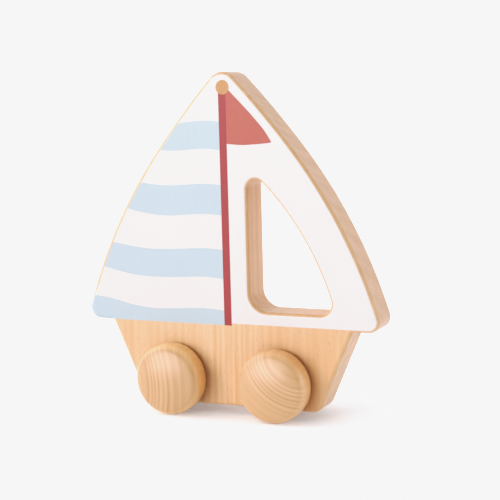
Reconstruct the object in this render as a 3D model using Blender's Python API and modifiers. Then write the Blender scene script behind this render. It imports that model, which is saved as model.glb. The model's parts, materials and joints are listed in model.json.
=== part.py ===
"""Wooden push-along sailing boat: one thick board on two dowel axles with four turned wheels.

Frame: metres, +Z up, +X along the boat, +Y across it. The ground is z = 0, x = 0 is the
centre line of the sails and y = 0 is the middle of the board's thickness.
"""
import math

import bmesh
import bpy

MM = 0.001

# Board (hull and both sails are sawn from one board)
BOARD_THICKNESS = 16.0 * MM
ARRIS_RADIUS = 1.5 * MM
ARRIS_RESOLUTION = 2
BOAT_TOP = 142.6 * MM
SAIL_UNDERSIDE = 37.9 * MM
HULL_UNDERSIDE = 3.6 * MM
HULL_HALF_TOP = 54.8 * MM
HULL_HALF_BOTTOM = 39.9 * MM
HULL_CORNER_RADIUS = 4.5 * MM
HULL_THROAT_RADIUS = 1.5 * MM
SAIL_CORNER_RADIUS = 4.6 * MM

# Sail edge: a long arc that runs into a flatter one near the masthead
LEECH_CENTRE = (-140.3 * MM, -21.9 * MM)
LEECH_RADIUS = 216.5 * MM
LEECH_JOIN_ANGLE = math.radians(38.45)
HEAD_RADIUS = 401.6 * MM

# Grab hole through the bow-side sail
HOLE_MAST_SIDE = 10.27 * MM
HOLE_SILL = 44.15 * MM
HOLE_ARC_CENTRE = (-66.9 * MM, 14.05 * MM)
HOLE_ARC_RADIUS = 118.4 * MM
HOLE_TOP_RADIUS = 3.9 * MM
HOLE_TACK_RADIUS = 8.0 * MM
HOLE_CLEW_RADIUS = 4.8 * MM

# Axles: glued dowels that turn in oversize bores
FRONT_AXLE_X = 22.85 * MM
REAR_AXLE_X = -24.45 * MM
DOWEL_RADIUS = 4.0 * MM
BORE_RADIUS = 4.4 * MM
DOWEL_IN_WHEEL = 8.0 * MM
DOWEL_CHAMFER = 0.6 * MM
DOWEL_SEGMENTS = 32
BORE_SEGMENTS = 40

# Wheels: turned, rounded shoulder, shallow dome on the outside
WHEEL_RADIUS = 15.0 * MM
WHEEL_RIM = 6.0 * MM
WHEEL_INNER_EDGE = 2.0 * MM
WHEEL_SHOULDER = 4.0 * MM
WHEEL_SHOULDER_TURN = math.radians(70.0)
WHEEL_BOARD_GAP = 1.25 * MM
WHEEL_HOLE_RADIUS = 4.3 * MM
WHEEL_HOLE_DEPTH = 8.4 * MM
WHEEL_SEGMENTS = 48

# A flat of the faceted rim is downwards, so the wheel's centre is this high
WHEEL_Z = WHEEL_RADIUS * math.cos(math.pi / WHEEL_SEGMENTS)
WHEEL_INNER_FACE = BOARD_THICKNESS / 2 + WHEEL_BOARD_GAP

BEECH_BOARD = (0.80, 0.56, 0.33)
BEECH_WHEEL = (0.76, 0.52, 0.28)
BEECH_DOWEL = (0.74, 0.52, 0.30)
WOOD_ROUGHNESS = 0.55
WELD_DISTANCE = 0.00001


def clear_scene():
    for obj in list(bpy.data.objects):
        bpy.data.objects.remove(obj, do_unlink=True)


def make_collection(name):
    collection = bpy.data.collections.new(name)
    bpy.context.scene.collection.children.link(collection)
    return collection


def make_material(name, colour):
    material = bpy.data.materials.new(name)
    material.use_nodes = True
    shader = material.node_tree.nodes["Principled BSDF"]
    shader.inputs["Base Color"].default_value = (*colour, 1.0)
    shader.inputs["Roughness"].default_value = WOOD_ROUGHNESS
    shader.inputs["Metallic"].default_value = 0.0
    material.diffuse_color = (*colour, 1.0)
    return material


def arc(centre, radius, start, end, steps):
    """Points along an arc in the XZ plane, both ends included; angles in radians."""
    points = []
    for step in range(steps + 1):
        angle = start + (end - start) * step / steps
        x = centre[0] + radius * math.cos(angle)
        z = centre[1] + radius * math.sin(angle)
        points.append((x, z))
    return points


def bearing(centre, point):
    return math.atan2(point[1] - centre[1], point[0] - centre[0])


def sail_edge():
    """Right-hand sail edge, from the lower corner up to the masthead on x = 0."""
    cx, cz = LEECH_CENTRE
    corner_z = SAIL_UNDERSIDE + SAIL_CORNER_RADIUS
    reach = LEECH_RADIUS - SAIL_CORNER_RADIUS
    corner = (cx + math.sqrt(reach ** 2 - (corner_z - cz) ** 2), corner_z)
    back = HEAD_RADIUS - LEECH_RADIUS
    head = (cx - back * math.cos(LEECH_JOIN_ANGLE), cz - back * math.sin(LEECH_JOIN_ANGLE))
    rise = BOAT_TOP - head[1]
    tip_radius = (HEAD_RADIUS ** 2 - head[0] ** 2 - rise ** 2) / (2 * (HEAD_RADIUS - rise))
    tip = (0.0, BOAT_TOP - tip_radius)
    low = bearing(LEECH_CENTRE, corner)
    high = bearing(head, tip)
    points = arc(corner, SAIL_CORNER_RADIUS, -math.pi / 2, low, 7)
    points += arc(LEECH_CENTRE, LEECH_RADIUS, low, LEECH_JOIN_ANGLE, 20)[1:]
    points += arc(head, HEAD_RADIUS, LEECH_JOIN_ANGLE, high, 5)[1:]
    points += arc(tip, tip_radius, high, math.pi / 2, 5)[1:]
    return points


def hull_edge():
    """Right-hand hull side, from the rounded bottom corner up to the throat under the sail."""
    run = HULL_HALF_TOP - HULL_HALF_BOTTOM
    rise = SAIL_UNDERSIDE - HULL_UNDERSIDE
    slope = math.atan2(rise, run)
    turn = math.pi - slope
    setback = HULL_CORNER_RADIUS / math.tan(turn / 2)
    corner = (HULL_HALF_BOTTOM - setback, HULL_UNDERSIDE + HULL_CORNER_RADIUS)
    side_bearing = slope - math.pi / 2
    points = arc(corner, HULL_CORNER_RADIUS, -math.pi / 2, side_bearing, 6)
    throat_run = HULL_THROAT_RADIUS / math.tan(turn / 2)
    throat = (HULL_HALF_TOP + throat_run, SAIL_UNDERSIDE - HULL_THROAT_RADIUS)
    points += arc(throat, HULL_THROAT_RADIUS, math.pi + side_bearing, math.pi / 2, 4)
    return points


def board_outline():
    right = hull_edge() + sail_edge()
    left = [(-x, z) for x, z in reversed(right[:-1])]
    return right + left


def hole_outline():
    cx, cz = HOLE_ARC_CENTRE
    tack = (HOLE_MAST_SIDE + HOLE_TACK_RADIUS, HOLE_SILL + HOLE_TACK_RADIUS)
    clew_z = HOLE_SILL + HOLE_CLEW_RADIUS
    clew_reach = HOLE_ARC_RADIUS - HOLE_CLEW_RADIUS
    clew = (cx + math.sqrt(clew_reach ** 2 - (clew_z - cz) ** 2), clew_z)
    head_x = HOLE_MAST_SIDE + HOLE_TOP_RADIUS
    head_reach = HOLE_ARC_RADIUS - HOLE_TOP_RADIUS
    head = (head_x, cz + math.sqrt(head_reach ** 2 - (head_x - cx) ** 2))
    low = bearing(HOLE_ARC_CENTRE, clew)
    high = bearing(HOLE_ARC_CENTRE, head)
    points = arc(tack, HOLE_TACK_RADIUS, math.pi, 1.5 * math.pi, 8)
    points += arc(clew, HOLE_CLEW_RADIUS, -math.pi / 2, low, 8)
    points += arc(HOLE_ARC_CENTRE, HOLE_ARC_RADIUS, low, high, 14)[1:]
    points += arc(head, HOLE_TOP_RADIUS, high, math.pi, 8)[1:]
    return points


def add_closed_spline(curve, points):
    spline = curve.splines.new("POLY")
    spline.points.add(len(points) - 1)
    for spline_point, (x, z) in zip(spline.points, points):
        spline_point.co = (x, z, 0.0, 1.0)
    spline.use_cyclic_u = True


def curve_to_mesh_object(name, curve_object, collection):
    """Replace a filled curve by a mesh object with its caps welded to its walls."""
    bpy.context.view_layer.update()
    graph = bpy.context.evaluated_depsgraph_get()
    mesh = bpy.data.meshes.new_from_object(curve_object.evaluated_get(graph))
    bm = bmesh.new()
    bm.from_mesh(mesh)
    bmesh.ops.remove_doubles(bm, verts=bm.verts, dist=WELD_DISTANCE)
    cap_height = max(vertex.co.z for vertex in bm.verts) - WELD_DISTANCE
    caps = [f for f in bm.faces if all(abs(v.co.z) > cap_height for v in f.verts)]
    inner = [e for e in bm.edges if len(e.link_faces) == 2 and all(f in caps for f in e.link_faces)]
    bmesh.ops.beautify_fill(bm, faces=caps, edges=inner)
    bmesh.ops.recalc_face_normals(bm, faces=bm.faces)
    bm.to_mesh(mesh)
    bm.free()
    mesh.name = name
    obj = bpy.data.objects.new(name, mesh)
    obj.matrix_world = curve_object.matrix_world.copy()
    collection.objects.link(obj)
    bpy.data.objects.remove(curve_object, do_unlink=True)
    return obj


def make_bore_cutter(name, x, cutters):
    bpy.ops.mesh.primitive_cylinder_add(
        vertices=BORE_SEGMENTS,
        radius=BORE_RADIUS,
        depth=2 * BOARD_THICKNESS,
        location=(x, 0.0, WHEEL_Z),
        rotation=(math.pi / 2, 0.0, 0.0),
    )
    cutter = bpy.context.active_object
    cutter.name = name
    for owner in list(cutter.users_collection):
        owner.objects.unlink(cutter)
    cutters.objects.link(cutter)
    cutter.hide_render = True
    cutter.display_type = "WIRE"
    return cutter


def make_board(collection, cutters, material):
    curve = bpy.data.curves.new("board_outline", "CURVE")
    curve.dimensions = "2D"
    curve.fill_mode = "BOTH"
    curve.extrude = BOARD_THICKNESS / 2 - ARRIS_RADIUS
    curve.bevel_depth = ARRIS_RADIUS
    curve.bevel_resolution = ARRIS_RESOLUTION
    curve.offset = -ARRIS_RADIUS
    add_closed_spline(curve, board_outline())
    add_closed_spline(curve, hole_outline())
    flat = bpy.data.objects.new("board_outline", curve)
    flat.rotation_euler = (math.pi / 2, 0.0, 0.0)
    collection.objects.link(flat)
    board = curve_to_mesh_object("body_board", flat, collection)
    board.data.materials.clear()
    board.data.materials.append(material)
    for name, x in (("front_bore", FRONT_AXLE_X), ("rear_bore", REAR_AXLE_X)):
        cut = board.modifiers.new(name, "BOOLEAN")
        cut.operation = "DIFFERENCE"
        cut.solver = "EXACT"
        cut.object = make_bore_cutter(name + "_cutter", x, cutters)
    board.data.shade_smooth()
    board.data.set_sharp_from_angle(angle=math.radians(35.0))
    return board


def wheel_profile():
    """Half section, radius against height; the outer dome is up, the inner face at 0."""
    points = []
    dome_slope = math.pi / 2 - WHEEL_SHOULDER_TURN
    shoulder_centre = WHEEL_RADIUS - WHEEL_SHOULDER
    dome_edge = shoulder_centre + WHEEL_SHOULDER * math.cos(WHEEL_SHOULDER_TURN)
    dome_edge_height = WHEEL_RIM + WHEEL_SHOULDER * math.sin(WHEEL_SHOULDER_TURN)
    dome_radius = dome_edge / math.sin(dome_slope)
    dome_base = dome_edge_height - dome_radius * math.cos(dome_slope)
    dome_steps = 6
    for step in range(dome_steps):
        angle = dome_slope * step / dome_steps
        radius = dome_radius * math.sin(angle)
        points.append((radius, dome_base + dome_radius * math.cos(angle)))
    shoulder_steps = 6
    for step in range(shoulder_steps + 1):
        angle = WHEEL_SHOULDER_TURN * (1 - step / shoulder_steps)
        radius = shoulder_centre + WHEEL_SHOULDER * math.cos(angle)
        points.append((radius, WHEEL_RIM + WHEEL_SHOULDER * math.sin(angle)))
    edge_centre = (WHEEL_RADIUS - WHEEL_INNER_EDGE, WHEEL_INNER_EDGE)
    points += arc(edge_centre, WHEEL_INNER_EDGE, 0.0, -math.pi / 2, 5)
    points.append((WHEEL_HOLE_RADIUS, 0.0))
    points.append((WHEEL_HOLE_RADIUS, WHEEL_HOLE_DEPTH))
    points.append((0.0, WHEEL_HOLE_DEPTH))
    return points


def dowel_profile():
    half = WHEEL_INNER_FACE + DOWEL_IN_WHEEL
    shoulder = half - DOWEL_CHAMFER
    tip = DOWEL_RADIUS - DOWEL_CHAMFER
    return [
        (0.0, half),
        (tip, half),
        (DOWEL_RADIUS, shoulder),
        (DOWEL_RADIUS, -shoulder),
        (tip, -half),
        (0.0, -half),
    ]


def make_turned(name, profile, steps, collection, material):
    """Turn a profile about the local Z axis."""
    mesh = bpy.data.meshes.new(name)
    vertices = [(radius, 0.0, height) for radius, height in profile]
    edges = [(i, i + 1) for i in range(len(vertices) - 1)]
    mesh.from_pydata(vertices, edges, [])
    obj = bpy.data.objects.new(name, mesh)
    collection.objects.link(obj)
    mesh.materials.append(material)
    screw = obj.modifiers.new("turning", "SCREW")
    screw.axis = "Z"
    screw.angle = 2 * math.pi
    screw.steps = steps
    screw.render_steps = steps
    screw.use_merge_vertices = True
    screw.merge_threshold = 0.00001
    screw.use_smooth_shade = True
    return obj


def make_axle_set(prefix, x, collection, wood):
    """One dowel with a wheel glued on each end, all on the same axis."""
    dowel = make_turned(prefix + "_axle_dowel", dowel_profile(), DOWEL_SEGMENTS, collection,
                        wood["dowel"])
    dowel.location = (x, 0.0, WHEEL_Z)
    dowel.rotation_euler = (math.pi / 2, 0.0, 0.0)
    half_facet = math.pi / WHEEL_SEGMENTS
    for side, sign in (("left", 1.0), ("right", -1.0)):
        name = prefix + "_" + side + "_wheel"
        wheel = make_turned(name, wheel_profile(), WHEEL_SEGMENTS, collection, wood["wheel"])
        wheel.location = (x, sign * WHEEL_INNER_FACE, WHEEL_Z)
        wheel.rotation_euler = (-sign * math.pi / 2, half_facet, 0.0)
    return dowel


def main():
    clear_scene()
    boat = make_collection("toy_boat")
    cutters = make_collection("cutters")
    wood = {
        "board": make_material("beech_board", BEECH_BOARD),
        "wheel": make_material("beech_wheel", BEECH_WHEEL),
        "dowel": make_material("beech_dowel", BEECH_DOWEL),
    }
    make_board(boat, cutters, wood["board"])
    make_axle_set("front", FRONT_AXLE_X, boat, wood)
    make_axle_set("rear", REAR_AXLE_X, boat, wood)


main()
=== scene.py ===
import json
import math
from collections import namedtuple

import bmesh
import bpy
import numpy as np
from mathutils import Matrix, Vector
from mathutils.geometry import delaunay_2d_cdt


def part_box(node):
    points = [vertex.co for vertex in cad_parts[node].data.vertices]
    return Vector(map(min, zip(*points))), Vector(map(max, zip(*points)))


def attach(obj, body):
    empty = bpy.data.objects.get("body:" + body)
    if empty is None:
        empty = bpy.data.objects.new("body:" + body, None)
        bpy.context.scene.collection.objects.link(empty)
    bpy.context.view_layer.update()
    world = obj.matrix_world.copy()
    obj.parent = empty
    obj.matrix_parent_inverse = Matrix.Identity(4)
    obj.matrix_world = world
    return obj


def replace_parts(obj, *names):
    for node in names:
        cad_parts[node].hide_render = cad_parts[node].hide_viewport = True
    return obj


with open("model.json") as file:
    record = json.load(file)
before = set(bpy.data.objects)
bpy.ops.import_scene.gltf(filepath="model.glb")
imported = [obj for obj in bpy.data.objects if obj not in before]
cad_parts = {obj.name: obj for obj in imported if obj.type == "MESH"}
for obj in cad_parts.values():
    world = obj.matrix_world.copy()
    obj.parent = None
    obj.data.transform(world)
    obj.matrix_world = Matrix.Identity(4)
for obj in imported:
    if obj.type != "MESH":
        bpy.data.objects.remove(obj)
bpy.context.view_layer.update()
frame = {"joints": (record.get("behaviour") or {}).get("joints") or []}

# Outlines are worked out in millimetres in the XZ plane and become metres in the meshes.
MM = 0.001
PER_MM = 1000.0

# ---------------------------------------------------------------------------------------------
# Sizes taken from the frame
# ---------------------------------------------------------------------------------------------

board_low, board_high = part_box("body_board")
HALF_THICKNESS = board_high.y * PER_MM
BOAT_TOP = board_high.z * PER_MM
HULL_UNDERSIDE = board_low.z * PER_MM
AXLES = {
    joint["child"]: Vector(joint["pos_m"]) * PER_MM
    for joint in frame["joints"]
}

# Board outline, as on the CAD board
ARRIS_RADIUS = 1.5
SAIL_UNDERSIDE = 37.9
HULL_HALF_TOP = 54.8
HULL_HALF_BOTTOM = 39.9
HULL_CORNER_RADIUS = 4.5
HULL_THROAT_RADIUS = 1.5
SAIL_CORNER_RADIUS = 4.6
LEECH_CENTRE = (-140.3, -21.9)
LEECH_RADIUS = 216.5
LEECH_JOIN_ANGLE = math.radians(38.45)
HEAD_RADIUS = 401.6
HOLE_MAST_SIDE = 10.27
HOLE_SILL = 44.15
HOLE_ARC_CENTRE = (-66.9, 14.05)
HOLE_ARC_RADIUS = 118.4
HOLE_TOP_RADIUS = 3.9
HOLE_TACK_RADIUS = 8.0
HOLE_CLEW_RADIUS = 4.8
BORE_RADIUS = 4.4
BORE_STEPS = 64
KNOB_STEPS = 48
CURVE_STEP = 0.7
CLOSEST_POINTS = 0.0005

# Depths below the outline at which the rounded arris gets a ring of points
ARRIS_DEPTHS = (0.0, 0.12, 0.4, 0.7)

# Print on the board
PRINT_INSET = 0.9
HOLE_PRINT_INSET = 0.95
STERN_INSETS = ((38.0, 0.35), (44.0, 0.5), (54.0, 1.4), (100.0, 1.45), (125.0, 1.15), (145.0, 1.05))
BOW_PRINT_FOOT = 38.85
STERN_PRINT_FOOT = 38.0
MAST_SIDES = (-1.35, 1.98)
MAST_FOOT = 37.95
KNOB_CENTRE = (0.6, 136.4)
KNOB_RADIUS = 2.95
FLAG_LUFF = ((1.2, 137.3), (3.4, 135.1), (8.8, 129.7), (12.5, 125.9), (18.1, 119.6), (21.2, 115.0))
FLAG_TIP = ((21.6, 114.3), (21.3, 113.75))
FLAG_FOOT = ((16.0, 113.25), (9.6, 112.9), (5.8, 113.05), (1.2, 113.45))

# Each stripe: its upper and its lower edge, from the sail's edge to the mast
STRIPES = (
    (((-24.0, 120.6), (-19.8, 122.0), (-8.0, 123.0), (2.0, 122.1)),
     ((-32.0, 110.9), (-29.0, 111.0), (-22.5, 110.7), (-9.1, 111.4), (2.0, 110.6))),
    (((-42.0, 98.7), (-38.6, 97.4), (-26.1, 96.2), (-9.6, 97.0), (2.0, 96.2)),
     ((-49.0, 87.5), (-45.6, 86.3), (-38.0, 84.6), (-26.6, 83.5), (-10.1, 84.4), (2.0, 83.7))),
    (((-56.0, 72.3), (-53.2, 71.6), (-38.6, 69.5), (-27.3, 69.3), (-10.0, 70.1), (2.0, 69.4)),
     ((-61.0, 61.7), (-58.3, 60.9), (-43.0, 57.8), (-27.6, 57.3), (-11.0, 58.1), (2.0, 57.1))),
    (((-66.0, 48.0), (-63.1, 48.0), (-55.3, 47.1), (-43.6, 44.6), (-32.0, 43.7), (-11.4, 44.7),
      (2.0, 43.8)), None),
)

# ---------------------------------------------------------------------------------------------
# Shader graphs
# ---------------------------------------------------------------------------------------------

# How far from 0.5 most of a noise's values lie
SPREAD = 0.2
BAND_SPREAD = 0.18


class Graph:
    """Adds nodes to one material and returns their output sockets."""

    def __init__(self, name):
        self.material = bpy.data.materials.new(name)
        self.material.use_nodes = True
        self.tree = self.material.node_tree
        self.shader = self.tree.nodes["Principled BSDF"]

    def plug(self, socket, value):
        if isinstance(value, bpy.types.NodeSocket):
            self.tree.links.new(value, socket)
        elif isinstance(value, tuple) and len(value) == 3 and socket.type == "RGBA":
            socket.default_value = (*value, 1.0)
        else:
            socket.default_value = value

    def node(self, kind, settings=None, **inputs):
        node = self.tree.nodes.new(kind)
        for key, value in (settings or {}).items():
            setattr(node, key, value)
        for key, value in inputs.items():
            self.plug(node.inputs[key.replace("_", " ")], value)
        return node

    def math(self, operation, *values, clamp=False):
        node = self.node("ShaderNodeMath", {"operation": operation, "use_clamp": clamp})
        for socket, value in zip(node.inputs, values):
            self.plug(socket, value)
        return node.outputs[0]

    def position(self):
        """Where a point is on its own object, in millimetres."""
        place = self.node("ShaderNodeTexCoord").outputs["Object"]
        scaled = self.node("ShaderNodeVectorMath", {"operation": "SCALE"}, Scale=PER_MM)
        self.plug(scaled.inputs[0], place)
        return scaled.outputs[0]

    def split(self, vector):
        return self.node("ShaderNodeSeparateXYZ", Vector=vector).outputs

    def join(self, x, y, z):
        return self.node("ShaderNodeCombineXYZ", X=x, Y=y, Z=z).outputs[0]

    def stretch(self, axes, cross, along):
        """Pattern coordinates: one unit is `cross` mm across the grain and `along` mm along it."""
        scaled = [self.math("DIVIDE", axis, size) for axis, size in zip(axes, (cross, cross, along))]
        return self.join(*scaled)

    def noise(self, vector, detail=2.0, roughness=0.5):
        node = self.node("ShaderNodeTexNoise", Vector=vector, Scale=1.0, Detail=detail,
                         Roughness=roughness, Distortion=0.0)
        return node.outputs[0]

    def layer(self, axes, layer):
        return self.noise(self.stretch(axes, layer.across, layer.along), layer.detail, layer.roughness)

    def swing(self, value, amount, spread=SPREAD):
        """A noise's value as a swing of up to `amount` either way."""
        return self.remap(value, 0.5 - spread, 0.5 + spread, -amount, amount)

    def vary(self, value, low_and_high):
        """A noise's value as a variation between two values."""
        return self.remap(value, 0.5 - SPREAD, 0.5 + SPREAD, *low_and_high)

    def remap(self, value, low, high, new_low, new_high, smooth=False):
        node = self.node(
            "ShaderNodeMapRange",
            {"interpolation_type": "SMOOTHSTEP" if smooth else "LINEAR"},
            Value=value, From_Min=low, From_Max=high, To_Min=new_low, To_Max=new_high)
        return node.outputs[0]

    def mix(self, factor, first, second, blend="MIX"):
        node = self.node("ShaderNodeMix", {"data_type": "RGBA", "blend_type": blend})
        factor_socket, first_socket, second_socket = 0, 6, 7
        for index, value in ((factor_socket, factor), (first_socket, first), (second_socket, second)):
            self.plug(node.inputs[index], value)
        return node.outputs[2]

    def tint(self, share, colour, tint):
        """The colour times the tint, as far as `share` says."""
        return self.mix(share, colour, self.mix(1.0, colour, tint, "MULTIPLY"))

    def bump(self, height, distance, strength):
        return self.node("ShaderNodeBump", Height=height, Distance=distance, Strength=strength).outputs[0]

    def finish(self, **inputs):
        for key, value in inputs.items():
            self.plug(self.shader.inputs[key.replace("_", " ")], value)
        return self.material


# Where a piece of beech was cut from the log. The grain runs along `grain`; the other two axes
# make the cross section, in which the pith lies at `pith` (mm from the piece's own centre).
# Between the two radii of `dense` the growth rings are `narrow` mm apart and clear, and elsewhere
# they are `wide` mm apart and `faint`.
Wood = namedtuple("Wood", "light dark grain centre pith dense narrow wide faint ring_strength seed")

# A noise in the wood or the ink: its size across and along the grain in mm, its levels of detail
# and their roughness, and how far it swings the tone either way
Layer = namedtuple("Layer", "across along detail roughness swing")
BOARD_BANDS = Layer(2.6, 90.0, 2.0, 0.5, 0.3)
BOARD_FIBRES = Layer(0.34, 11.0, 3.0, 0.6, 0.22)
BOARD_PATCHES = Layer(24.0, 60.0, 2.0, 0.5, 0.2)
WHEEL_BANDS = Layer(2.8, 50.0, 2.0, 0.5, 0.08)
WHEEL_STREAKS = Layer(0.5, 16.0, 3.0, 0.55, 0.12)
WHEEL_PORES = Layer(0.28, 3.0, 2.0, 0.6, 0.06)
INK_FIBRES = Layer(0.4, 14.0, 3.0, 0.6, 0.5)
INK_MOTTLE = Layer(1.1, 1.6, 3.0, 0.6, 0.3)
INK_CLOUDS = Layer(22.0, 40.0, 2.0, 0.5, 0.4)
INK_SWING = INK_FIBRES.swing + INK_MOTTLE.swing + INK_CLOUDS.swing
RING_WAVER = Layer(17.0, 70.0, 2.0, 0.5, None)
FLECK_SIZE = (0.62, 3.4)
FLECK_EDGE = (0.12, 0.34)
FLECK_CHANCE = 0.25

BOARD_TONE = 0.35
BOARD_WAVER = 3.2
BOARD_RING_FADE = 8.0
BOARD_ROUGHNESS = (0.35, 0.46)
WHEEL_TONE = 0.32
WHEEL_WAVER = 0.6
WHEEL_RING_FADE = 2.0
WHEEL_ROUGHNESS = (0.32, 0.41)
WHEEL_ARC_RADIUS = 20.0
RIM_RING_SHARE = 0.3
INK_ROUGHNESS = (0.38, 0.47)

# Growth rings: uneven years, a late-wood line that is sharp on its outer side, some years clearer
RING_UNEVEN = 0.25
RING_DRIFT = 0.55
RING_SHARPNESS = 1.4
RING_CLEARNESS = (0.65, 1.25)

LACQUER_IOR = 1.5
COAT_ROUGHNESS = 0.3
EDGE_COAT = 0.4
WHEEL_COAT = 0.45
FLECK_BROWN = (0.42, 0.22, 0.10)
FLECK_DEPTH = 0.8
PORE_DEPTH = 0.5
MOTTLE_DEPTH = 0.4
BOARD_BUMP = (0.00003, 0.6)
FINE_BUMP = (0.00002, 0.5)
# Colours of the painted shade and the painted light on the board's arris
ARRIS_SHADE = (0.82, 0.80, 0.80)
ARRIS_PAINTED_LIGHT = (0.78, 0.62, 0.50)
# Painted shade: the face turns darker and warmer towards the bow, away from the key lamp, between these
# distances from the mast
BOW_PAINTED_SHADE = (0.96, 0.925, 0.88)
BOW_SHADE_FROM = 10.0
BOW_SHADE_FULL = 42.0
# Painted light on the sawn edges: another tone on the hull for the light from the floor, brighter in the
# grab hole
HULL_EDGE_PAINTED_LIGHT = (1.01, 0.99, 0.83)
HOLE_EDGE_PAINTED_LIGHT = (1.16, 1.17, 1.08)
HULL_EDGE_BLEND = 1.0
RIM_BLEND = 2.0


def wood_axes(graph, wood):
    """Coordinates about the piece's centre: two across the grain and one along it."""
    shifted = [graph.math("SUBTRACT", axis, centre)
               for axis, centre in zip(graph.split(graph.position()), wood.centre)]
    order = {"Z": (0, 1, 2), "Y": (0, 2, 1)}[wood.grain]
    return [shifted[index] for index in order]


def length(graph, u, v):
    square = graph.math("ADD", graph.math("MULTIPLY", u, u), graph.math("MULTIPLY", v, v))
    return graph.math("SQRT", square)


def ring_radius(graph, wood, axes, wobble):
    """Distance from the pith, with the slow waver of real growth rings."""
    slow = graph.layer(axes, RING_WAVER)
    u, v = (graph.math("SUBTRACT", axis, pith) for axis, pith in zip(axes, wood.pith))
    waver = graph.math("MULTIPLY", graph.math("SUBTRACT", slow, 0.5), wobble)
    return graph.math("ADD", length(graph, u, v), waver), graph.math("ARCTAN2", v, u)


def clarity(graph, wood, radius, fade):
    """1 among the dense rings, falling to `faint` over `fade` mm on both sides of them."""
    near, far = wood.dense
    fade_in = graph.remap(radius, near - fade, near, wood.faint, 1.0, smooth=True)
    fade_out = graph.remap(radius, far, far + fade, 1.0, wood.faint, smooth=True)
    return graph.math("MINIMUM", fade_in, fade_out)


def late_wood(graph, wood, radius):
    """Up to 1 in each dark late-wood line and down to -1 in the pale wood just outside it."""
    near, far = wood.dense
    outward = graph.math("SUBTRACT", radius, near)
    among = graph.math("MAXIMUM", graph.math("MINIMUM", outward, far - near), 0.0)
    count = graph.math("ADD", graph.math("DIVIDE", outward, wood.wide),
                       graph.math("MULTIPLY", among, 1.0 / wood.narrow - 1.0 / wood.wide))
    drift = graph.noise(graph.join(graph.math("MULTIPLY", count, RING_DRIFT), 0.0, wood.seed), 1.0)
    count = graph.math("ADD", count, graph.swing(drift, RING_UNEVEN))
    left = graph.math("SUBTRACT", 1.0, graph.math("FRACT", count))
    phase = graph.math("MULTIPLY", graph.math("POWER", left, RING_SHARPNESS), 2 * math.pi)
    own = graph.node("ShaderNodeTexWhiteNoise", {"noise_dimensions": "2D"},
                     Vector=graph.join(graph.math("ROUND", count), wood.seed, 0.0))
    return graph.math("MULTIPLY", graph.math("COSINE", phase),
                      graph.remap(own.outputs["Value"], 0.0, 1.0, *RING_CLEARNESS))


def flecks(graph, axes, seed):
    """Short dark dashes along the grain, 1 inside a fleck."""
    across, through, along = axes
    moved = (graph.math("ADD", across, seed), through, along)
    cells = graph.node("ShaderNodeTexVoronoi", Vector=graph.stretch(moved, *FLECK_SIZE), Scale=1.0,
                       Randomness=1.0)
    near = graph.remap(cells.outputs["Distance"], *FLECK_EDGE, 1.0, 0.0, smooth=True)
    chance = graph.split(cells.outputs["Color"])[0]
    return graph.math("MULTIPLY", near, graph.remap(chance, FLECK_CHANCE, 1.0, 0.0, 1.0))


def add_up(graph, first, *others):
    total = first
    for value in others:
        total = graph.math("ADD", total, value)
    return total


def painted_light_attribute(graph):
    """What the arris attribute holds: how much painted shade, how much painted light, and whether on the
    grab hole.
    """
    return graph.split(graph.node("ShaderNodeAttribute", {"attribute_name": "arris"}).outputs["Color"])


def face_painted_light(graph, colour):
    """Painted shade on the arris where it faces the bow or up and painted light where it faces the stern;
    painted shade also makes the face darker and warmer towards the bow.
    """
    dark, pale = painted_light_attribute(graph)[:2]
    colour = graph.tint(dark, colour, ARRIS_SHADE)
    # Painted shade towards the bow
    bow = graph.remap(graph.split(graph.position())[0], BOW_SHADE_FROM, BOW_SHADE_FULL, 0.0, 1.0,
                      smooth=True)
    return graph.mix(pale, graph.tint(bow, colour, BOW_PAINTED_SHADE), ARRIS_PAINTED_LIGHT)


def edge_painted_light(graph, colour):
    """Painted light on the sawn edges: brighter in the grab hole, and another tone on the hull than on
    the sails for the floor's light.
    """
    # Painted light in the grab hole and on the hull's edges
    colour = graph.tint(painted_light_attribute(graph)[2], colour, HOLE_EDGE_PAINTED_LIGHT)
    height = graph.split(graph.position())[2]
    hull = graph.remap(height, SAIL_UNDERSIDE - HULL_EDGE_BLEND, SAIL_UNDERSIDE + HULL_EDGE_BLEND,
                       1.0, 0.0)
    return graph.tint(hull, colour, HULL_EDGE_PAINTED_LIGHT)


def sawn_beech(name, wood, fleck, coat=0.0, tones=None):
    """Sanded, lacquered beech along the grain: ring lines, fibre streaks, flecks, uneven tone."""
    graph = Graph(name)
    axes = wood_axes(graph, wood)
    radius = ring_radius(graph, wood, axes, BOARD_WAVER)[0]
    rings = graph.math("MULTIPLY", late_wood(graph, wood, radius), wood.ring_strength)
    bands = graph.layer(axes, BOARD_BANDS)
    fibres = graph.layer(axes, BOARD_FIBRES)
    patches = graph.layer(axes, BOARD_PATCHES)
    dashes = flecks(graph, axes, wood.seed)
    figure = add_up(graph, rings, graph.swing(bands, BOARD_BANDS.swing, BAND_SPREAD),
                    graph.swing(fibres, BOARD_FIBRES.swing))
    figure = graph.math("MULTIPLY", figure, clarity(graph, wood, radius, BOARD_RING_FADE))
    tone = add_up(graph, figure, graph.swing(patches, BOARD_PATCHES.swing), BOARD_TONE)
    tone = graph.math("ADD", tone, 0.0, clamp=True)
    colour = graph.mix(tone, wood.light, wood.dark)
    colour = graph.mix(graph.math("MULTIPLY", dashes, fleck), colour, FLECK_BROWN)
    # The callback paints light and shade onto the colour
    if tones:
        colour = tones(graph, colour)
    relief = graph.math("SUBTRACT", fibres, graph.math("MULTIPLY", dashes, FLECK_DEPTH))
    return graph.finish(
        Base_Color=colour, IOR=LACQUER_IOR, Coat_Weight=coat, Coat_Roughness=COAT_ROUGHNESS,
        Roughness=graph.vary(fibres, BOARD_ROUGHNESS), Normal=graph.bump(relief, *BOARD_BUMP))


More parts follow.
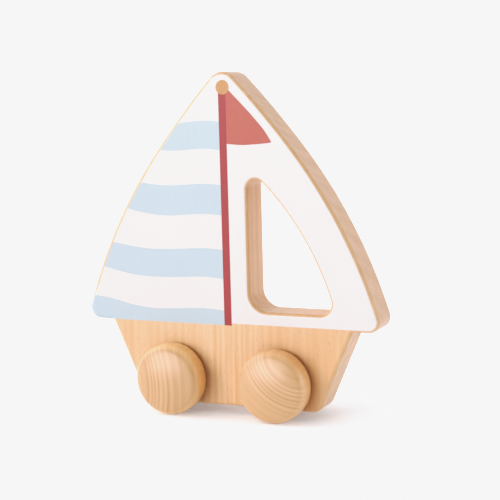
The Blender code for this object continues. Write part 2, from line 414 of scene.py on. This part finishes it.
def turned_beech(name, wood, rim_from, rim_tint):
    """Turned, lacquered beech seen on the end grain: arcs of growth rings, another tone on the rim that
    is partly its side grain and partly painted light.
    """
    graph = Graph(name)
    axes = wood_axes(graph, wood)
    radius, turned_by = ring_radius(graph, wood, axes, WHEEL_WAVER)
    rim = graph.remap(length(graph, axes[0], axes[1]), rim_from, rim_from + RIM_BLEND, 0.0, 1.0,
                      smooth=True)
    strength = graph.remap(rim, 0.0, 1.0, wood.ring_strength, wood.ring_strength * RIM_RING_SHARE)
    rings = graph.math("MULTIPLY", late_wood(graph, wood, radius),
                       graph.math("MULTIPLY", strength, clarity(graph, wood, radius, WHEEL_RING_FADE)))
    arc_length = graph.math("MULTIPLY", turned_by, WHEEL_ARC_RADIUS)

    def along_rings(layer, third):
        across = graph.math("DIVIDE", radius, layer.across)
        around = graph.math("DIVIDE", arc_length, layer.along)
        return graph.noise(graph.join(across, around, third), layer.detail, layer.roughness)

    streaks = along_rings(WHEEL_STREAKS, graph.math("DIVIDE", axes[2], WHEEL_STREAKS.along))
    bands = along_rings(WHEEL_BANDS, wood.seed)
    pores = graph.layer(axes, WHEEL_PORES)
    tone = add_up(graph, rings, graph.swing(bands, WHEEL_BANDS.swing, BAND_SPREAD),
                  graph.swing(streaks, WHEEL_STREAKS.swing), graph.swing(pores, WHEEL_PORES.swing),
                  WHEEL_TONE)
    tone = graph.math("ADD", tone, 0.0, clamp=True)
    # Painted light on the rim, together with its side grain's tone
    colour = graph.tint(rim, graph.mix(tone, wood.light, wood.dark), rim_tint)
    relief = graph.math("ADD", streaks, graph.math("MULTIPLY", pores, PORE_DEPTH))
    return graph.finish(
        Base_Color=colour, IOR=LACQUER_IOR, Coat_Weight=WHEEL_COAT, Coat_Roughness=COAT_ROUGHNESS,
        Roughness=graph.vary(streaks, WHEEL_ROUGHNESS), Normal=graph.bump(relief, *FINE_BUMP))


def ink(name, colour, depth):
    """Print on beech: an even film through which the wood's fibres still show faintly."""
    graph = Graph(name)
    axes = graph.split(graph.position())
    fibres = graph.layer(axes, INK_FIBRES)
    mottle = graph.layer(axes, INK_MOTTLE)
    clouds = graph.layer(axes, INK_CLOUDS)
    wear = add_up(graph, graph.swing(fibres, INK_FIBRES.swing), graph.swing(mottle, INK_MOTTLE.swing),
                  graph.swing(clouds, INK_CLOUDS.swing))
    wear = graph.remap(wear, -INK_SWING, INK_SWING, 0.0, 1.0)
    shade = tuple(channel * (1.0 - depth) for channel in colour)
    relief = graph.math("ADD", fibres, graph.math("MULTIPLY", mottle, MOTTLE_DEPTH))
    return graph.finish(
        Base_Color=graph.mix(wear, colour, shade), IOR=LACQUER_IOR,
        Roughness=graph.vary(mottle, INK_ROUGHNESS), Normal=graph.bump(relief, *FINE_BUMP))


# ---------------------------------------------------------------------------------------------
# Board outline: points with the direction that faces out of the wood
# ---------------------------------------------------------------------------------------------

Edge = namedtuple("Edge", "x z out_x out_z")


def arc(centre, radius, start, end, steps, convex=True):
    """Edge points along an arc; the wood is inside a convex arc and outside a concave one."""
    side = 1.0 if convex else -1.0
    points = []
    for step in range(steps + 1):
        angle = start + (end - start) * step / steps
        across, up = math.cos(angle), math.sin(angle)
        points.append(Edge(centre[0] + radius * across, centre[1] + radius * up,
                           side * across, side * up))
    return points


def bearing(centre, point):
    return math.atan2(point[1] - centre[1], point[0] - centre[0])


def sail_edge():
    """Bow-side sail edge, from the lower corner up to the masthead on x = 0."""
    cx, cz = LEECH_CENTRE
    corner_z = SAIL_UNDERSIDE + SAIL_CORNER_RADIUS
    reach = LEECH_RADIUS - SAIL_CORNER_RADIUS
    corner = (cx + math.sqrt(reach ** 2 - (corner_z - cz) ** 2), corner_z)
    back = HEAD_RADIUS - LEECH_RADIUS
    head = (cx - back * math.cos(LEECH_JOIN_ANGLE), cz - back * math.sin(LEECH_JOIN_ANGLE))
    rise = BOAT_TOP - head[1]
    tip_radius = (HEAD_RADIUS ** 2 - head[0] ** 2 - rise ** 2) / (2 * (HEAD_RADIUS - rise))
    tip = (0.0, BOAT_TOP - tip_radius)
    low = bearing(LEECH_CENTRE, corner)
    high = bearing(head, tip)
    points = arc(corner, SAIL_CORNER_RADIUS, -math.pi / 2, low, 20)
    points += arc(LEECH_CENTRE, LEECH_RADIUS, low, LEECH_JOIN_ANGLE, 60)[1:]
    points += arc(head, HEAD_RADIUS, LEECH_JOIN_ANGLE, high, 14)[1:]
    points += arc(tip, tip_radius, high, math.pi / 2, 14)[1:]
    return points


def hull_edge():
    """Bow-side hull side, from the rounded bottom corner up to the throat under the sail."""
    run = HULL_HALF_TOP - HULL_HALF_BOTTOM
    rise = SAIL_UNDERSIDE - HULL_UNDERSIDE
    slope = math.atan2(rise, run)
    turn = math.pi - slope
    setback = HULL_CORNER_RADIUS / math.tan(turn / 2)
    corner = (HULL_HALF_BOTTOM - setback, HULL_UNDERSIDE + HULL_CORNER_RADIUS)
    side_bearing = slope - math.pi / 2
    points = arc(corner, HULL_CORNER_RADIUS, -math.pi / 2, side_bearing, 16)
    throat_run = HULL_THROAT_RADIUS / math.tan(turn / 2)
    throat = (HULL_HALF_TOP + throat_run, SAIL_UNDERSIDE - HULL_THROAT_RADIUS)
    points += arc(throat, HULL_THROAT_RADIUS, math.pi + side_bearing, math.pi / 2, 10, convex=False)
    return points


def mirrored(points):
    return [Edge(-p.x, p.z, -p.out_x, p.out_z) for p in reversed(points)]


def board_outline():
    right = hull_edge() + sail_edge()
    return right + mirrored(right[:-1])


def hole_outline():
    cx, cz = HOLE_ARC_CENTRE
    tack = (HOLE_MAST_SIDE + HOLE_TACK_RADIUS, HOLE_SILL + HOLE_TACK_RADIUS)
    clew_z = HOLE_SILL + HOLE_CLEW_RADIUS
    clew_reach = HOLE_ARC_RADIUS - HOLE_CLEW_RADIUS
    clew = (cx + math.sqrt(clew_reach ** 2 - (clew_z - cz) ** 2), clew_z)
    head_x = HOLE_MAST_SIDE + HOLE_TOP_RADIUS
    head_reach = HOLE_ARC_RADIUS - HOLE_TOP_RADIUS
    head = (head_x, cz + math.sqrt(head_reach ** 2 - (head_x - cx) ** 2))
    low = bearing(HOLE_ARC_CENTRE, clew)
    high = bearing(HOLE_ARC_CENTRE, head)
    points = arc(tack, HOLE_TACK_RADIUS, math.pi, 1.5 * math.pi, 22, convex=False)
    points += arc(clew, HOLE_CLEW_RADIUS, -math.pi / 2, low, 20, convex=False)
    points += arc(HOLE_ARC_CENTRE, HOLE_ARC_RADIUS, low, high, 40, convex=False)[1:]
    points += arc(head, HOLE_TOP_RADIUS, high, math.pi, 20, convex=False)[1:]
    return points


def inset(points, depth):
    """The loop that lies `depth` inside the wood."""
    return [(p.x - depth * p.out_x, p.z - depth * p.out_z) for p in points]


def circle(centre, radius, steps):
    return [(p.x, p.z) for p in arc(centre, radius, 0.0, 2 * math.pi, steps)[:-1]]


def smooth_line(knots):
    """A Catmull-Rom curve through the knots."""
    first = tuple(2 * a - b for a, b in zip(knots[0], knots[1]))
    last = tuple(2 * a - b for a, b in zip(knots[-1], knots[-2]))
    control = [first, *knots, last]
    points = []
    for before, start, end, after in zip(control, control[1:], control[2:], control[3:]):
        steps = max(2, round(math.dist(start, end) / CURVE_STEP))
        for step in range(steps):
            t = step / steps
            points.append(tuple(
                0.5 * (2 * b + (c - a) * t + (2 * a - 5 * b + 4 * c - d) * t * t
                       + (3 * b - a - 3 * c + d) * t ** 3)
                for a, b, c, d in zip(before, start, end, after)))
    points.append(tuple(knots[-1]))
    return points


# ---------------------------------------------------------------------------------------------
# Print: closed outlines, each listed after the ones it covers
# ---------------------------------------------------------------------------------------------

def bow_print():
    """Bow-side half of the print, inset all round."""
    edge = inset(sail_edge(), PRINT_INSET)
    points = [(x, max(z, BOW_PRINT_FOOT)) for x, z in edge]
    return [(0.0, BOW_PRINT_FOOT)] + points


def stern_print():
    """Stern-side half. Its inset changes with height: it runs out over the arris at the corner."""
    heights, insets = zip(*STERN_INSETS)
    points = []
    for p in mirrored(sail_edge()):
        depth = float(np.interp(p.z, heights, insets))
        points += inset([p], depth)
    points[-1] = (points[-1][0], STERN_PRINT_FOOT)
    return points + [(0.0, STERN_PRINT_FOOT)]


def stripe_outline(upper, lower):
    top = smooth_line(upper)
    if lower is None:
        foot = STERN_PRINT_FOOT - 1.0
        return top + [(top[-1][0], foot), (top[0][0], foot)]
    return top + smooth_line(lower)[::-1]


def mast_outline():
    left, right = MAST_SIDES
    head = KNOB_CENTRE[1]
    return [(left, MAST_FOOT), (right, MAST_FOOT), (right, head), (left, head)]


def flag_outline():
    return smooth_line(FLAG_LUFF + FLAG_TIP + FLAG_FOOT)


# ---------------------------------------------------------------------------------------------
# Board mesh
# ---------------------------------------------------------------------------------------------

def inside(points, loop):
    """Which of the points (an n by 2 array) are inside the closed loop."""
    result = np.zeros(len(points), bool)
    px, pz = points[:, 0], points[:, 1]
    for (ax, az), (bx, bz) in zip(loop, loop[1:] + loop[:1]):
        if az == bz:
            continue
        crosses = (az > pz) != (bz > pz)
        result ^= crosses & (px < (bx - ax) * (pz - az) / (bz - az) + ax)
    return result


def nearest_edge(points, loops):
    """Distance from each point to the nearest loop, and that loop's outward direction there."""
    best = np.full(len(points), np.inf)
    outward = np.zeros((len(points), 2))
    for loop in loops:
        for start, end in zip(loop, loop[1:] + loop[:1]):
            a = np.array(start[:2])
            run = np.array(end[:2]) - a
            length = run @ run
            if length < 1e-12:
                continue
            share = np.clip((points - a) @ run / length, 0.0, 1.0)
            distance = np.linalg.norm(points - a - share[:, None] * run, axis=1)
            direction = (1 - share[:, None]) * start[2:] + share[:, None] * np.array(end[2:])
            nearer = distance < best
            best[nearer] = distance[nearer]
            outward[nearer] = direction[nearer]
    outward /= np.linalg.norm(outward, axis=1)[:, None]
    return best, outward


def plan_board(loops):
    """Triangles over the whole plane that respect every loop."""
    points, edges = [], []
    for loop in loops:
        first = len(points)
        points += loop
        count = len(loop)
        edges += [(first + i, first + (i + 1) % count) for i in range(count)]
    made = delaunay_2d_cdt([Vector(p) for p in points], edges, [], 0, CLOSEST_POINTS, False)
    return np.array([tuple(p) for p in made[0]]), [tuple(face) for face in made[2]]


# Finishes of the board, in the order of its material slots
WOOD, WHITE, BLUE, MAST, FLAG, KNOB, SAWN = range(7)


def lay_out_board(outline, hole):
    """The board seen flat: points, the triangles on wood and the finish of each triangle."""
    bores = [circle((pos.x, pos.z), BORE_RADIUS, BORE_STEPS) for pos in AXLES.values()]
    edge_rings = [inset(outline, depth) for depth in ARRIS_DEPTHS + (PRINT_INSET, ARRIS_RADIUS)]
    hole_rings = [inset(hole, depth) for depth in ARRIS_DEPTHS + (HOLE_PRINT_INSET, ARRIS_RADIUS)]
    hole_print = hole_rings[len(ARRIS_DEPTHS)]
    white_areas = [bow_print(), stern_print()]
    stripes = [stripe_outline(upper, lower) for upper, lower in STRIPES]
    mast, flag = mast_outline(), flag_outline()
    knob = circle(KNOB_CENTRE, KNOB_RADIUS, KNOB_STEPS)
    points, faces = plan_board(edge_rings + hole_rings + bores + white_areas + stripes
                               + [mast, flag, knob])

    centres = np.array([points[list(face)].mean(axis=0) for face in faces])
    wood = inside(centres, edge_rings[0]) & ~inside(centres, hole_rings[0])
    for bore in bores:
        wood &= ~inside(centres, bore)
    white = inside(centres, white_areas[0]) | inside(centres, white_areas[1])
    white &= ~inside(centres, hole_print)
    finish = np.where(white, WHITE, WOOD)
    for stripe in stripes:
        finish[white & inside(centres, stripe) & (centres[:, 0] < MAST_SIDES[0])] = BLUE
    finish[inside(centres, flag) & white] = FLAG
    finish[inside(centres, mast)] = MAST
    finish[inside(centres, knob)] = KNOB
    return points, [face for face, keep in zip(faces, wood) if keep], finish[wood]


def round_arris(points, outline, hole):
    """Each flat point's depth in the wood, way out of it, outward lean, drop and painted shade and light.
    """
    depth, outward = nearest_edge(points, [outline, hole])
    on_hole = nearest_edge(points, [hole])[0] <= depth
    lean = np.clip((ARRIS_RADIUS - depth) / ARRIS_RADIUS, 0.0, 1.0)
    drop = ARRIS_RADIUS * (1 - np.sqrt(1 - lean ** 2))
    tones = [arris_painted_light(*values) for values in zip(outward, lean, on_hole)]
    return depth, outward, lean, drop, tones


def make_board(materials):
    outline, hole = board_outline(), hole_outline()
    points, faces, finishes = lay_out_board(outline, hole)
    used = sorted({index for face in faces for index in face})
    renumber = {old: new for new, old in enumerate(used)}
    points = points[used]
    depth, outward, lean, drop, tones = round_arris(points, outline, hole)
    count = len(points)
    vertices, vertex_normals = [], []
    for side in (-1.0, 1.0):
        for (x, z), out, tilt, back in zip(points, outward, lean, drop):
            vertices.append((x * MM, side * (HALF_THICKNESS - back) * MM, z * MM))
            vertex_normals.append((out[0] * tilt, side * math.sqrt(1 - tilt ** 2), out[1] * tilt))

    polygons, slots, normals = [], [], []
    edges = {}
    for face, slot in zip(faces, finishes):
        a, b, c = (renumber[index] for index in face)
        for polygon in ((a, b, c), (count + c, count + b, count + a)):
            polygons.append(polygon)
            slots.append(int(slot))
            normals += [vertex_normals[index] for index in polygon]
        edges.update(dict.fromkeys(((a, b), (b, c), (c, a))))
    for a, b in [(a, b) for a, b in edges if (b, a) not in edges]:
        wall = (b, a, count + a, count + b)
        polygons.append(wall)
        slots.append(SAWN)
        for index in wall:
            flat = index % count
            normals.append(wall_normal(points[flat], outward[flat], depth[flat]))

    mesh = bpy.data.meshes.new("board")
    mesh.from_pydata(vertices, [], polygons)
    for material in materials:
        mesh.materials.append(material)
    mesh.polygons.foreach_set("material_index", slots)
    mesh.polygons.foreach_set("use_smooth", [True] * len(polygons))
    mesh.normals_split_custom_set([Vector(n).normalized() for n in normals])
    # The arris attribute carries the painted shade, the painted light and the grab-hole flag
    both_sides = [value for tone in tones for value in tone] * 2
    mesh.attributes.new("arris", "FLOAT_COLOR", "POINT").data.foreach_set("color", both_sides)
    mesh.validate()
    board = bpy.data.objects.new("board", mesh)
    bpy.context.scene.collection.objects.link(board)
    return board


# How strong the painted shade on the arris is for facing the bow and for facing up, unless it faces
# astern, and how strong the painted light on it is for facing astern
ARRIS_SHADE_FACING = (0.15, 0.4)
ASTERN = -0.3
ARRIS_LIGHT_FACING = 0.4


def arris_painted_light(outward, lean, on_hole):
    """How much painted shade and how much painted light the arris gets, and whether it is the grab
    hole's.
    """
    dark = max(0.0, ARRIS_SHADE_FACING[0] * outward[0] + ARRIS_SHADE_FACING[1] * outward[1])
    if outward[0] <= ASTERN:
        dark = 0.0
    pale = 0.0 if on_hole else ARRIS_LIGHT_FACING * max(0.0, -outward[0])
    return dark * lean, pale * lean, float(on_hole), 1.0


def wall_normal(point, outward, depth):
    """Across the outline's walls, or towards the axle in a bore."""
    if depth < ARRIS_RADIUS:
        return (outward[0], 0.0, outward[1])
    axle = min(AXLES.values(), key=lambda pos: math.dist(point, (pos.x, pos.z)))
    return (axle.x - point[0], 0.0, axle.z - point[1])


# ---------------------------------------------------------------------------------------------
# Turned pieces
# ---------------------------------------------------------------------------------------------

WHEEL_STEPS = 144
DOWEL_STEPS = 64
WHEEL_RIM = 6.0
WHEEL_INNER_EDGE = 2.0
WHEEL_SHOULDER = 4.0
WHEEL_SHOULDER_TURN = math.radians(70.0)
WHEEL_HOLE_RADIUS = 4.3
WHEEL_HOLE_DEPTH = 8.4
DOWEL_CHAMFER = 0.6
SHARP_ANGLE = math.radians(35.0)


def wheel_profile(radius):
    """Half section as (radius, height above the inner face), from the dome round to the hole."""
    dome_slope = math.pi / 2 - WHEEL_SHOULDER_TURN
    shoulder_centre = radius - WHEEL_SHOULDER
    dome_edge = shoulder_centre + WHEEL_SHOULDER * math.cos(WHEEL_SHOULDER_TURN)
    dome_edge_height = WHEEL_RIM + WHEEL_SHOULDER * math.sin(WHEEL_SHOULDER_TURN)
    dome_radius = dome_edge / math.sin(dome_slope)
    dome_base = dome_edge_height - dome_radius * math.cos(dome_slope)
    points = []
    dome_steps, shoulder_steps, edge_steps = 18, 12, 5
    for step in range(dome_steps):
        angle = dome_slope * step / dome_steps
        points.append((dome_radius * math.sin(angle), dome_base + dome_radius * math.cos(angle)))
    for step in range(shoulder_steps + 1):
        angle = WHEEL_SHOULDER_TURN * (1 - step / shoulder_steps)
        points.append((shoulder_centre + WHEEL_SHOULDER * math.cos(angle),
                       WHEEL_RIM + WHEEL_SHOULDER * math.sin(angle)))
    edge_centre = radius - WHEEL_INNER_EDGE
    for step in range(edge_steps + 1):
        angle = -math.pi / 2 * step / edge_steps
        points.append((edge_centre + WHEEL_INNER_EDGE * math.cos(angle),
                       WHEEL_INNER_EDGE + WHEEL_INNER_EDGE * math.sin(angle)))
    points.append((WHEEL_HOLE_RADIUS, 0.0))
    points.append((WHEEL_HOLE_RADIUS, WHEEL_HOLE_DEPTH))
    points.append((0.0, WHEEL_HOLE_DEPTH))
    return points


def dowel_profile(radius, half_length):
    shoulder = half_length - DOWEL_CHAMFER
    tip = radius - DOWEL_CHAMFER
    return [(0.0, half_length), (tip, half_length), (radius, shoulder),
            (radius, -shoulder), (tip, -half_length), (0.0, -half_length)]


def turn(name, profile, steps, centre, start_y, side, material):
    """A closed solid turned about Y: the profile's height runs from start_y along side * Y."""
    bm = bmesh.new()
    loops = []
    for radius, height in profile:
        y = start_y + side * height
        if radius == 0.0:
            loops.append([bm.verts.new((centre.x * MM, y * MM, centre.z * MM))])
            continue
        ring = []
        for step in range(steps):
            angle = 2 * math.pi * step / steps
            ring.append(bm.verts.new(((centre.x + radius * math.cos(angle)) * MM, y * MM,
                                      (centre.z + radius * math.sin(angle)) * MM)))
        loops.append(ring)
    for upper, lower in zip(loops, loops[1:]):
        for step in range(steps):
            after = (step + 1) % steps
            corners = [upper[step % len(upper)], upper[after % len(upper)],
                       lower[after % len(lower)], lower[step % len(lower)]]
            bm.faces.new(list(dict.fromkeys(corners)))
    bmesh.ops.recalc_face_normals(bm, faces=bm.faces)
    mesh = bpy.data.meshes.new(name)
    bm.to_mesh(mesh)
    bm.free()
    mesh.materials.append(material)
    mesh.shade_smooth()
    mesh.set_sharp_from_angle(angle=SHARP_ANGLE)
    piece = bpy.data.objects.new(name, mesh)
    bpy.context.scene.collection.objects.link(piece)
    return piece


# ---------------------------------------------------------------------------------------------
# Finishes
# ---------------------------------------------------------------------------------------------

FACE_LIGHT = (0.72, 0.477, 0.288)
FACE_DARK = (0.62, 0.342, 0.176)
# The sawn edges' colours are paler and greyer than the face's: partly the side grain's own tone and
# partly a painted sheen
EDGE_LIGHT_AND_SHEEN = (0.69, 0.416, 0.262)
EDGE_DARK_AND_SHEEN = (0.587, 0.322, 0.18)
FACE_FLECK = 0.5
EDGE_FLECK = 0.8
WHEEL_LIGHT = (0.632, 0.404, 0.228)
WHEEL_DARK = (0.453, 0.2, 0.084)

BOARD_WOOD = Wood(
    light=FACE_LIGHT, dark=FACE_DARK, grain="Z", centre=(0.0, 0.0, 0.0), pith=(-170.0, 62.0),
    dense=(176.0, 194.0), narrow=2.4, wide=3.6, faint=0.5, ring_strength=0.2, seed=3.7)
# Edge wood with the painted sheen of the edge colours
EDGE_WOOD_AND_SHEEN = BOARD_WOOD._replace(light=EDGE_LIGHT_AND_SHEEN, dark=EDGE_DARK_AND_SHEEN, faint=0.8, ring_strength=0.25)
DOWEL_WOOD = Wood(
    light=FACE_LIGHT, dark=FACE_DARK, grain="Y", centre=None, pith=(30.0, 12.0),
    dense=(28.0, 34.0), narrow=1.5, wide=2.2, faint=0.8, ring_strength=0.3, seed=9.1)

board_finishes = [
    sawn_beech("beech_board", BOARD_WOOD, FACE_FLECK, tones=face_painted_light),
    ink("white_print", (0.664, 0.608, 0.598), 0.035),
    ink("blue_print", (0.468, 0.527, 0.568), 0.05),
    ink("mast_print", (0.35, 0.054, 0.056), 0.14),
    ink("flag_print", (0.455, 0.115, 0.088), 0.10),
    ink("knob_print", (0.55, 0.27, 0.115), 0.16),
    sawn_beech("beech_edge_and_sheen", EDGE_WOOD_AND_SHEEN, EDGE_FLECK, EDGE_COAT, edge_painted_light),
]
board = make_board(board_finishes)
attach(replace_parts(board, "body_board"), "board")

# Each wheel's wood: where the pith of its log is (mm from the wheel's centre), the radii between
# which its rings are close together and how close, how clear they are elsewhere, the rim's tint, partly
# its side grain and partly painted light
Cut = namedtuple("Cut", "pith dense narrow faint rim_tint")
CUTS = {
    "front_right_wheel": Cut((16.0, 20.0), (19.5, 28.1), 1.72, 0.25, (1.27, 1.26, 1.21)),
    "rear_right_wheel": Cut((-29.0, -2.0), (21.8, 31.4), 1.93, 0.4, (1.45, 1.51, 1.38)),
    "front_left_wheel": Cut((-21.0, 14.0), (20.0, 28.1), 1.80, 0.4, (1.24, 1.25, 1.20)),
    "rear_left_wheel": Cut((9.0, -24.0), (19.0, 27.2), 1.75, 0.3, (1.24, 1.26, 1.18)),
}
WIDE_RINGS = 3.75
WHEEL_RINGS = 0.215
WHEEL_SEED = 5.3

for prefix, body in (("front", "front_wheelset"), ("rear", "rear_wheelset")):
    axle = AXLES[body]
    dowel_low, dowel_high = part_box(prefix + "_axle_dowel")
    dowel_radius = (dowel_high.x - dowel_low.x) / 2 * PER_MM
    dowel_wood = sawn_beech(prefix + "_dowel_beech", DOWEL_WOOD._replace(centre=tuple(axle)),
                            FACE_FLECK)
    dowel = turn(prefix + "_dowel", dowel_profile(dowel_radius, dowel_high.y * PER_MM), DOWEL_STEPS,
                 axle, 0.0, 1.0, dowel_wood)
    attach(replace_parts(dowel, prefix + "_axle_dowel"), body)
    for hand, side in (("left", 1.0), ("right", -1.0)):
        node = prefix + "_" + hand + "_wheel"
        low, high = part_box(node)
        radius = (high.z - low.z) / 2 * PER_MM
        inner_face = min(abs(low.y), abs(high.y)) * PER_MM
        cut = CUTS[node]
        wood = Wood(WHEEL_LIGHT, WHEEL_DARK, "Y", tuple(axle), cut.pith, cut.dense, cut.narrow,
                    WIDE_RINGS, cut.faint, WHEEL_RINGS, WHEEL_SEED + cut.pith[0])
        wheel = turn(node.replace("wheel", "turned_wheel"), wheel_profile(radius), WHEEL_STEPS,
                     axle, side * inner_face, side,
                     turned_beech(node + "_beech", wood, radius - RIM_BLEND, cut.rim_tint))
        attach(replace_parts(wheel, node), body)

# ---------------------------------------------------------------------------------------------
# Studio: pale floor, tent light that is dimmer towards its opening, three broad soft lamps
# ---------------------------------------------------------------------------------------------

TENT_LIGHT = 1.0
# The tent is open towards the right bow, so less light comes from there
OPENING_AZIMUTH = math.radians(45.0)
OPENING_ELEVATION = math.radians(5.0)
OPENING_LOSS = 0.95
OPENING_FLOOR_SHARE = 0.23
Lamp = namedtuple("Lamp", "strength softness azimuth elevation")
KEY = Lamp(2.72, math.radians(50.0), math.radians(-24.0), math.radians(3.0))
FILL = Lamp(1.0, math.radians(40.0), math.radians(91.0), math.radians(11.0))
SIDE = Lamp(0.72, math.radians(40.0), math.radians(-72.0), math.radians(36.0))

# The table is a pale sheet that also glows a little, which keeps the shadows short and light
TABLE_GLOW = 0.185
TABLE_GLOW_TINT = (0.97, 1.06, 1.16)
TABLE_LIT = 0.89
FLOOR_RADIUS = 6.0
FLOOR_STEPS = 64
FLOOR_TINT = (1.0, 1.03, 1.075)
PAPER_GRAIN = 0.8
PAPER_MOTTLE = 0.003
PAPER_ROUGHNESS = 0.9
FLOOR_LIGHT = (TENT_LIGHT * (1.0 - OPENING_LOSS * OPENING_FLOOR_SHARE)
               + sum(lamp.strength * math.sin(lamp.elevation) for lamp in (KEY, FILL, SIDE)) / math.pi)
PAPER_WHITE = 0.922

# How dim tones are shown, as (tone, shown tone): darker than they are, as on film
SHADES = ((0.05, 0.02), (0.12, 0.075), (0.28, 0.252), (0.45, 0.447), (0.7, 0.7))


def make_floor():
    bm = bmesh.new()
    bmesh.ops.create_circle(bm, cap_ends=True, segments=FLOOR_STEPS, radius=FLOOR_RADIUS)
    mesh = bpy.data.meshes.new("studio_floor")
    bm.to_mesh(mesh)
    bm.free()
    graph = Graph("studio_paper")
    grain = graph.noise(graph.stretch(graph.split(graph.position()), PAPER_GRAIN, PAPER_GRAIN), 2.0)
    albedos = [TABLE_LIT * tint / FLOOR_LIGHT for tint in FLOOR_TINT]
    paper = [graph.vary(grain, (albedo * (1 - PAPER_MOTTLE), albedo * (1 + PAPER_MOTTLE)))
             for albedo in albedos]
    mesh.materials.append(graph.finish(
        Base_Color=graph.join(*paper), Roughness=PAPER_ROUGHNESS, Specular_IOR_Level=0.0,
        Emission_Color=TABLE_GLOW_TINT, Emission_Strength=TABLE_GLOW))
    floor = bpy.data.objects.new("studio_floor", mesh)
    bpy.context.scene.collection.objects.link(floor)


def towards(azimuth, elevation):
    """Direction to a light, with azimuth 0 at the board's right side and positive to the bow."""
    level = math.cos(elevation)
    return Vector((math.sin(azimuth) * level, -math.cos(azimuth) * level, math.sin(elevation)))


def make_world():
    """Even white all round to the eye, but dimmer as a light towards the tent's opening."""
    world = bpy.data.worlds.new("tent")
    world.use_nodes = True
    tree = world.node_tree
    background = tree.nodes["Background"]
    background.inputs["Color"].default_value = (1.0, 1.0, 1.0, 1.0)
    opening = tree.nodes.new("ShaderNodeVectorMath")
    opening.operation = "DOT_PRODUCT"
    opening.inputs[1].default_value = towards(OPENING_AZIMUTH, OPENING_ELEVATION)
    tree.links.new(tree.nodes.new("ShaderNodeTexCoord").outputs["Generated"], opening.inputs[0])
    light = tree.nodes.new("ShaderNodeMapRange")
    for key, value in (("From Max", 1.0), ("To Min", TENT_LIGHT),
                       ("To Max", TENT_LIGHT * (1.0 - OPENING_LOSS))):
        light.inputs[key].default_value = value
    tree.links.new(opening.outputs["Value"], light.inputs["Value"])
    strength = tree.nodes.new("ShaderNodeMix")
    strength.inputs["B"].default_value = TENT_LIGHT
    tree.links.new(tree.nodes.new("ShaderNodeLightPath").outputs["Is Camera Ray"],
                   strength.inputs["Factor"])
    tree.links.new(light.outputs["Result"], strength.inputs["A"])
    tree.links.new(strength.outputs["Result"], background.inputs["Strength"])
    bpy.context.scene.world = world


def make_lamp(name, lamp):
    light = bpy.data.lights.new(name, "SUN")
    light.energy = lamp.strength
    light.angle = lamp.softness
    body = bpy.data.objects.new(name, light)
    body.rotation_euler = towards(lamp.azimuth, lamp.elevation).to_track_quat("Z", "Y").to_euler()
    bpy.context.scene.collection.objects.link(body)


# Camera: off the right bow, nearly as high as the masthead
CAMERA_PLACE = (221.57, -472.25, 135.16)
CAMERA_AZIMUTH = 0.4255
CAMERA_ELEVATION = 0.1272
CAMERA_ROLL = -0.0261
CAMERA_LENS = 90.29
SENSOR_WIDTH = 36.0
CLIP_START = 0.02
CLIP_END = 20.0


def make_camera():
    data = bpy.data.cameras.new("camera")
    data.lens = CAMERA_LENS
    data.sensor_width = SENSOR_WIDTH
    data.clip_start = CLIP_START
    data.clip_end = CLIP_END
    camera = bpy.data.objects.new("camera", data)
    forward = Vector((-math.sin(CAMERA_AZIMUTH) * math.cos(CAMERA_ELEVATION),
                      math.cos(CAMERA_AZIMUTH) * math.cos(CAMERA_ELEVATION),
                      -math.sin(CAMERA_ELEVATION)))
    level = Vector((math.cos(CAMERA_AZIMUTH), math.sin(CAMERA_AZIMUTH), 0.0))
    upright = level.cross(forward)
    right = math.cos(CAMERA_ROLL) * level + math.sin(CAMERA_ROLL) * upright
    up = math.cos(CAMERA_ROLL) * upright - math.sin(CAMERA_ROLL) * level
    turned = Matrix((right, up, -forward)).transposed().to_4x4()
    camera.matrix_world = Matrix.Translation(Vector(CAMERA_PLACE) * MM) @ turned
    bpy.context.scene.collection.objects.link(camera)
    bpy.context.scene.camera = camera


def set_exposure():
    """Everything from PAPER_WHITE up is one even pale tone, as in an overexposed studio backdrop."""
    view = bpy.context.scene.view_settings
    view.view_transform = "Standard"
    view.use_curve_mapping = True
    curve = view.curve_mapping.curves[3]
    curve.points[-1].location = (1.0, PAPER_WHITE)
    for dim, seen in SHADES + ((PAPER_WHITE, PAPER_WHITE),):
        curve.points.new(dim, seen)
    for point in curve.points:
        point.handle_type = "VECTOR" if point.location[0] >= PAPER_WHITE else "AUTO"
    view.curve_mapping.update()


make_floor()
make_world()
make_lamp("key", KEY)
make_lamp("fill", FILL)
make_lamp("side", SIDE)
make_camera()
set_exposure()

bpy.context.view_layer.update()
